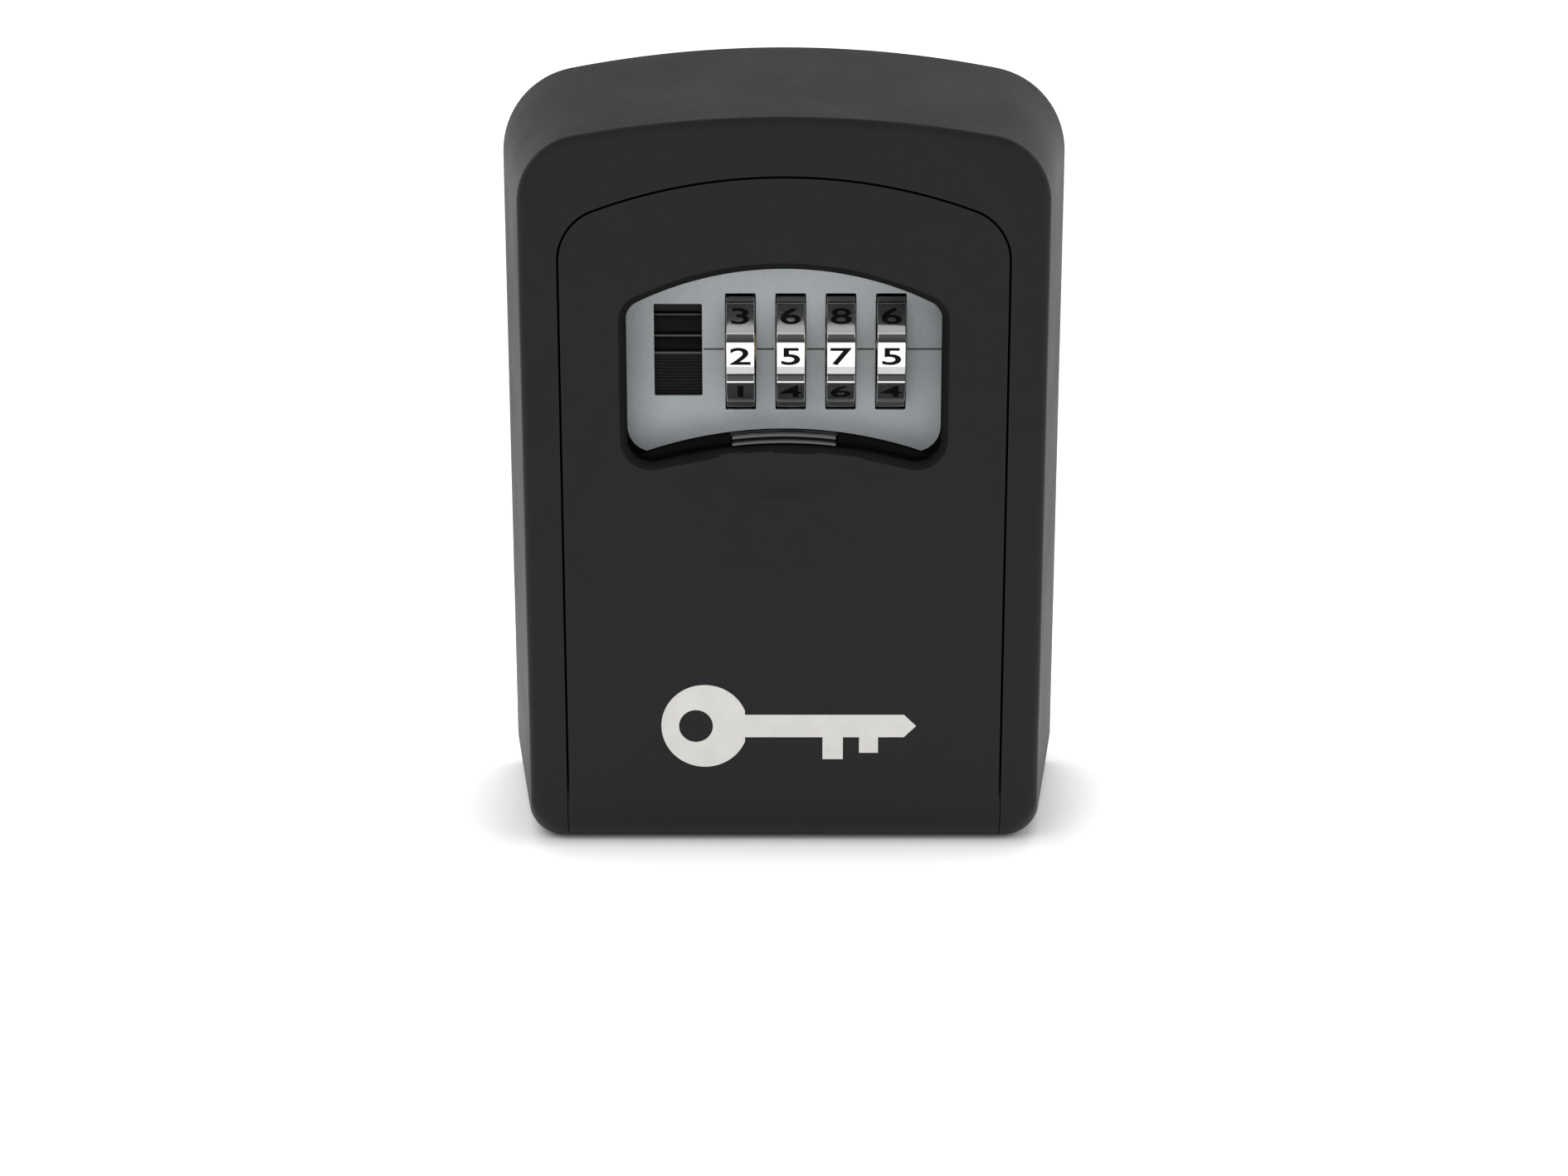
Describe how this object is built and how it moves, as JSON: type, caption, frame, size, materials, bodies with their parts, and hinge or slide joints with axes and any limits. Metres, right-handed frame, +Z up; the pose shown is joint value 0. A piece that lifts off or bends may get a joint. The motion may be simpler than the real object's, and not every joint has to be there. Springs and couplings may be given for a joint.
{
  "type": "key lock box",
  "caption": "Wall-mount key lock box: drafted arched case, bottom-hinged door, dial wheels, thumb release, sliding shutter and key hook inside.",
  "frame": {"origin": "middle of the flat rear face, on the wall plane", "axes": "-Y out of the wall towards the user, +X to the right as the user sees it, +Z up"},
  "size_m": [0.0848, 0.037, 0.1137],
  "materials": {
    "case_coat": "satin black coating with a very fine texture",
    "gloss_black": "gloss black",
    "black_plastic": "moulded black with fine ribs",
    "grey_paint": "satin cool grey",
    "polished_dial": "polished bright metal with black filled digits",
    "bright_plate": "bright zinc plate",
    "steel": "brushed",
    "spring_steel": "drawn wire and strip",
    "brass": "turned"
  },
  "bodies": {
    "case": {"case_shell": "case_coat", "key_post": "steel", "hinge_pin_left": "bright_plate", "hinge_pin_right": "bright_plate", "hinge_clip_left": "bright_plate", "hinge_clip_right": "bright_plate", "hinge_clip_screw_left": "bright_plate", "hinge_clip_screw_right": "bright_plate", "hinge_spring_left": "spring_steel", "hinge_spring_right": "spring_steel"},
    "door": {"door_shell": "case_coat", "shutter_frame": "black_plastic", "dial_plate": "grey_paint", "mechanism_cover": "black_plastic", "cover_screw_1": "steel", "cover_screw_2": "steel", "cover_screw_3": "steel", "cover_screw_4": "steel", "detent_spring": "spring_steel", "release_spring": "spring_steel", "latch_spring": "spring_steel", "change_spring": "spring_steel"},
    "shutter": {"shutter": "gloss_black"},
    "release": {"release_slider": "black_plastic", "release_carrier": "steel", "fence_spring": "spring_steel"},
    "fence": {"fence": "steel"},
    "latch": {"latch_bolt": "steel"},
    "code_change": {"code_change_tab": "black_plastic", "dial_shaft": "steel"},
    "wheel_1": {"dial_wheel_1": "polished_dial"},
    "wheel_2": {"dial_wheel_2": "polished_dial"},
    "wheel_3": {"dial_wheel_3": "polished_dial"},
    "wheel_4": {"dial_wheel_4": "polished_dial"},
    "tumbler_1": {"tumbler_1": "brass"},
    "tumbler_2": {"tumbler_2": "brass"},
    "tumbler_3": {"tumbler_3": "brass"},
    "tumbler_4": {"tumbler_4": "brass"}
  },
  "joints": [
    {"name": "door_hinge", "type": "hinge", "parent": "case", "child": "door", "pos_m": [0, -0.0312, -0.0512], "axis": [1, 0, 0], "range_deg": [0, 90], "stiffness_Nm_per_rad": 0.003, "deforming": ["hinge_spring_left", "hinge_spring_right"]},
    {"name": "shutter_slide", "type": "slide", "parent": "door", "child": "shutter", "axis": [0, 0, 1], "range_m": [0, 0.0236]},
    {"name": "release_slide", "type": "slide", "parent": "door", "child": "release", "axis": [0, 0, -1], "range_m": [0, 0.003], "stiffness_N_per_m": 300, "springref_m": -0.003, "deforming": ["release_spring"]},
    {"name": "fence_float", "type": "slide", "parent": "release", "child": "fence", "axis": [0, 0, 1], "range_m": [0, 0.003], "stiffness_N_per_m": 200, "springref_m": -0.003, "deforming": ["fence_spring"]},
    {"name": "latch_slide", "type": "slide", "parent": "door", "child": "latch", "axis": [0, 0, -1], "range_m": [-0.003, 0], "deforming": ["latch_spring"]},
    {"name": "code_change_slide", "type": "slide", "parent": "door", "child": "code_change", "axis": [1, 0, 0], "range_m": [0, 0.0018], "deforming": ["change_spring"]},
    {"name": "wheel_1_spin", "type": "hinge", "parent": "door", "child": "wheel_1", "pos_m": [0, -0.0236, 0.0167], "axis": [1, 0, 0], "continuous": true, "deforming": ["detent_spring"]},
    {"name": "wheel_2_spin", "type": "hinge", "parent": "door", "child": "wheel_2", "pos_m": [0, -0.0236, 0.0167], "axis": [1, 0, 0], "continuous": true},
    {"name": "wheel_3_spin", "type": "hinge", "parent": "door", "child": "wheel_3", "pos_m": [0, -0.0236, 0.0167], "axis": [1, 0, 0], "continuous": true},
    {"name": "wheel_4_spin", "type": "hinge", "parent": "door", "child": "wheel_4", "pos_m": [0, -0.0236, 0.0167], "axis": [1, 0, 0], "continuous": true},
    {"name": "tumbler_1_shift", "type": "slide", "parent": "wheel_1", "child": "tumbler_1", "axis": [1, 0, 0], "range_m": [0, 0.0018]},
    {"name": "tumbler_2_shift", "type": "slide", "parent": "wheel_2", "child": "tumbler_2", "axis": [1, 0, 0], "range_m": [0, 0.0018]},
    {"name": "tumbler_3_shift", "type": "slide", "parent": "wheel_3", "child": "tumbler_3", "axis": [1, 0, 0], "range_m": [0, 0.0018]},
    {"name": "tumbler_4_shift", "type": "slide", "parent": "wheel_4", "child": "tumbler_4", "axis": [1, 0, 0], "range_m": [0, 0.0018]}
  ],
  "couplings": [
    {"joint": "tumbler_1_shift", "follows": "code_change_slide", "ratio": 1},
    {"joint": "tumbler_2_shift", "follows": "code_change_slide", "ratio": 1},
    {"joint": "tumbler_3_shift", "follows": "code_change_slide", "ratio": 1},
    {"joint": "tumbler_4_shift", "follows": "code_change_slide", "ratio": 1}
  ]
}
